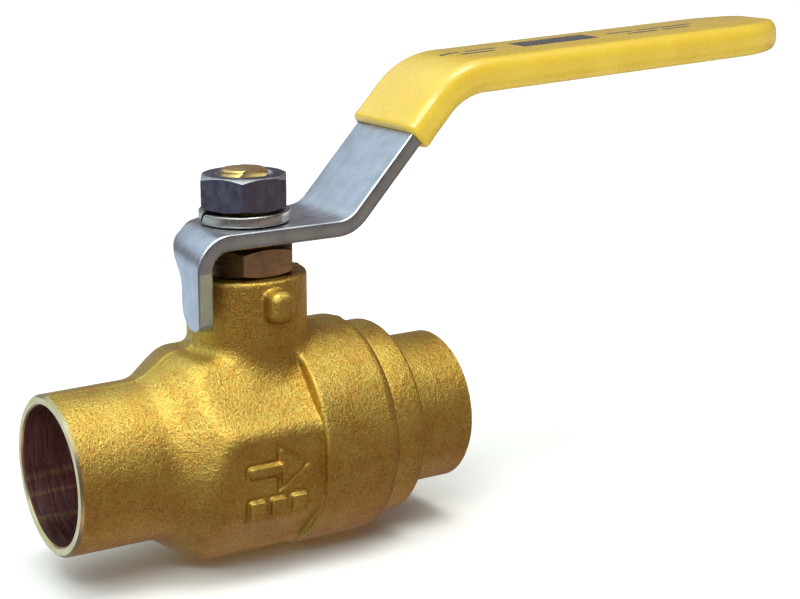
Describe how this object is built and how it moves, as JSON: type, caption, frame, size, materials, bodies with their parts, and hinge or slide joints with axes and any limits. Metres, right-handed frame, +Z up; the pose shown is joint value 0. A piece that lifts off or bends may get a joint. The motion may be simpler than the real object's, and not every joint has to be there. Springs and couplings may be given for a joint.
{
  "type": "ball valve",
  "caption": "Two-piece forged brass ball valve with solder cups, a bent steel lever in a yellow vinyl grip, and a full-port ball that turns a quarter turn to open and close.",
  "frame": {"origin": "where the pipe axis and the stem axis cross, which is the centre of the ball", "axes": "+X along the pipe from the inlet cup to the outlet cup, which is also the way the open lever points; +Z up the stem"},
  "size_m": [0.1475, 0.0368, 0.0821],
  "materials": {
    "forged_brass": "forged, fine blasted grain, machined rims",
    "turned_brass": "turned, satin",
    "chrome_plate": "polished",
    "zinc_plated_steel": "bright zinc plate, drawn grain",
    "nut_steel": "dark zinc plate, bright chamfers",
    "ptfe": "smooth, waxy",
    "yellow_vinyl": "dipped vinyl, glossy"
  },
  "bodies": {
    "housing": {"valve_body": "forged_brass", "tailpiece": "forged_brass", "body_seal_ring": "ptfe", "seat_inlet": "ptfe", "seat_outlet": "ptfe", "packing_ring_lower": "ptfe", "packing_ring_middle": "ptfe", "packing_ring_upper": "ptfe", "packing_follower": "turned_brass", "packing_nut": "turned_brass"},
    "handle": {"stem": "turned_brass", "stem_thrust_washer": "ptfe", "lever_handle": "zinc_plated_steel", "handle_grip": "yellow_vinyl", "lock_washer": "zinc_plated_steel", "handle_nut": "nut_steel"},
    "ball": {"ball": "chrome_plate"}
  },
  "joints": [
    {"name": "stem_turn", "type": "hinge", "parent": "housing", "child": "handle", "pos_m": [0, 0, 0], "axis": [0, 0, -1], "range_deg": [0, 90]},
    {"name": "ball_turn", "type": "hinge", "parent": "housing", "child": "ball", "pos_m": [0, 0, 0], "axis": [0, 0, -1], "range_deg": [0, 90]}
  ],
  "couplings": [
    {"joint": "ball_turn", "follows": "stem_turn", "ratio": 1}
  ]
}
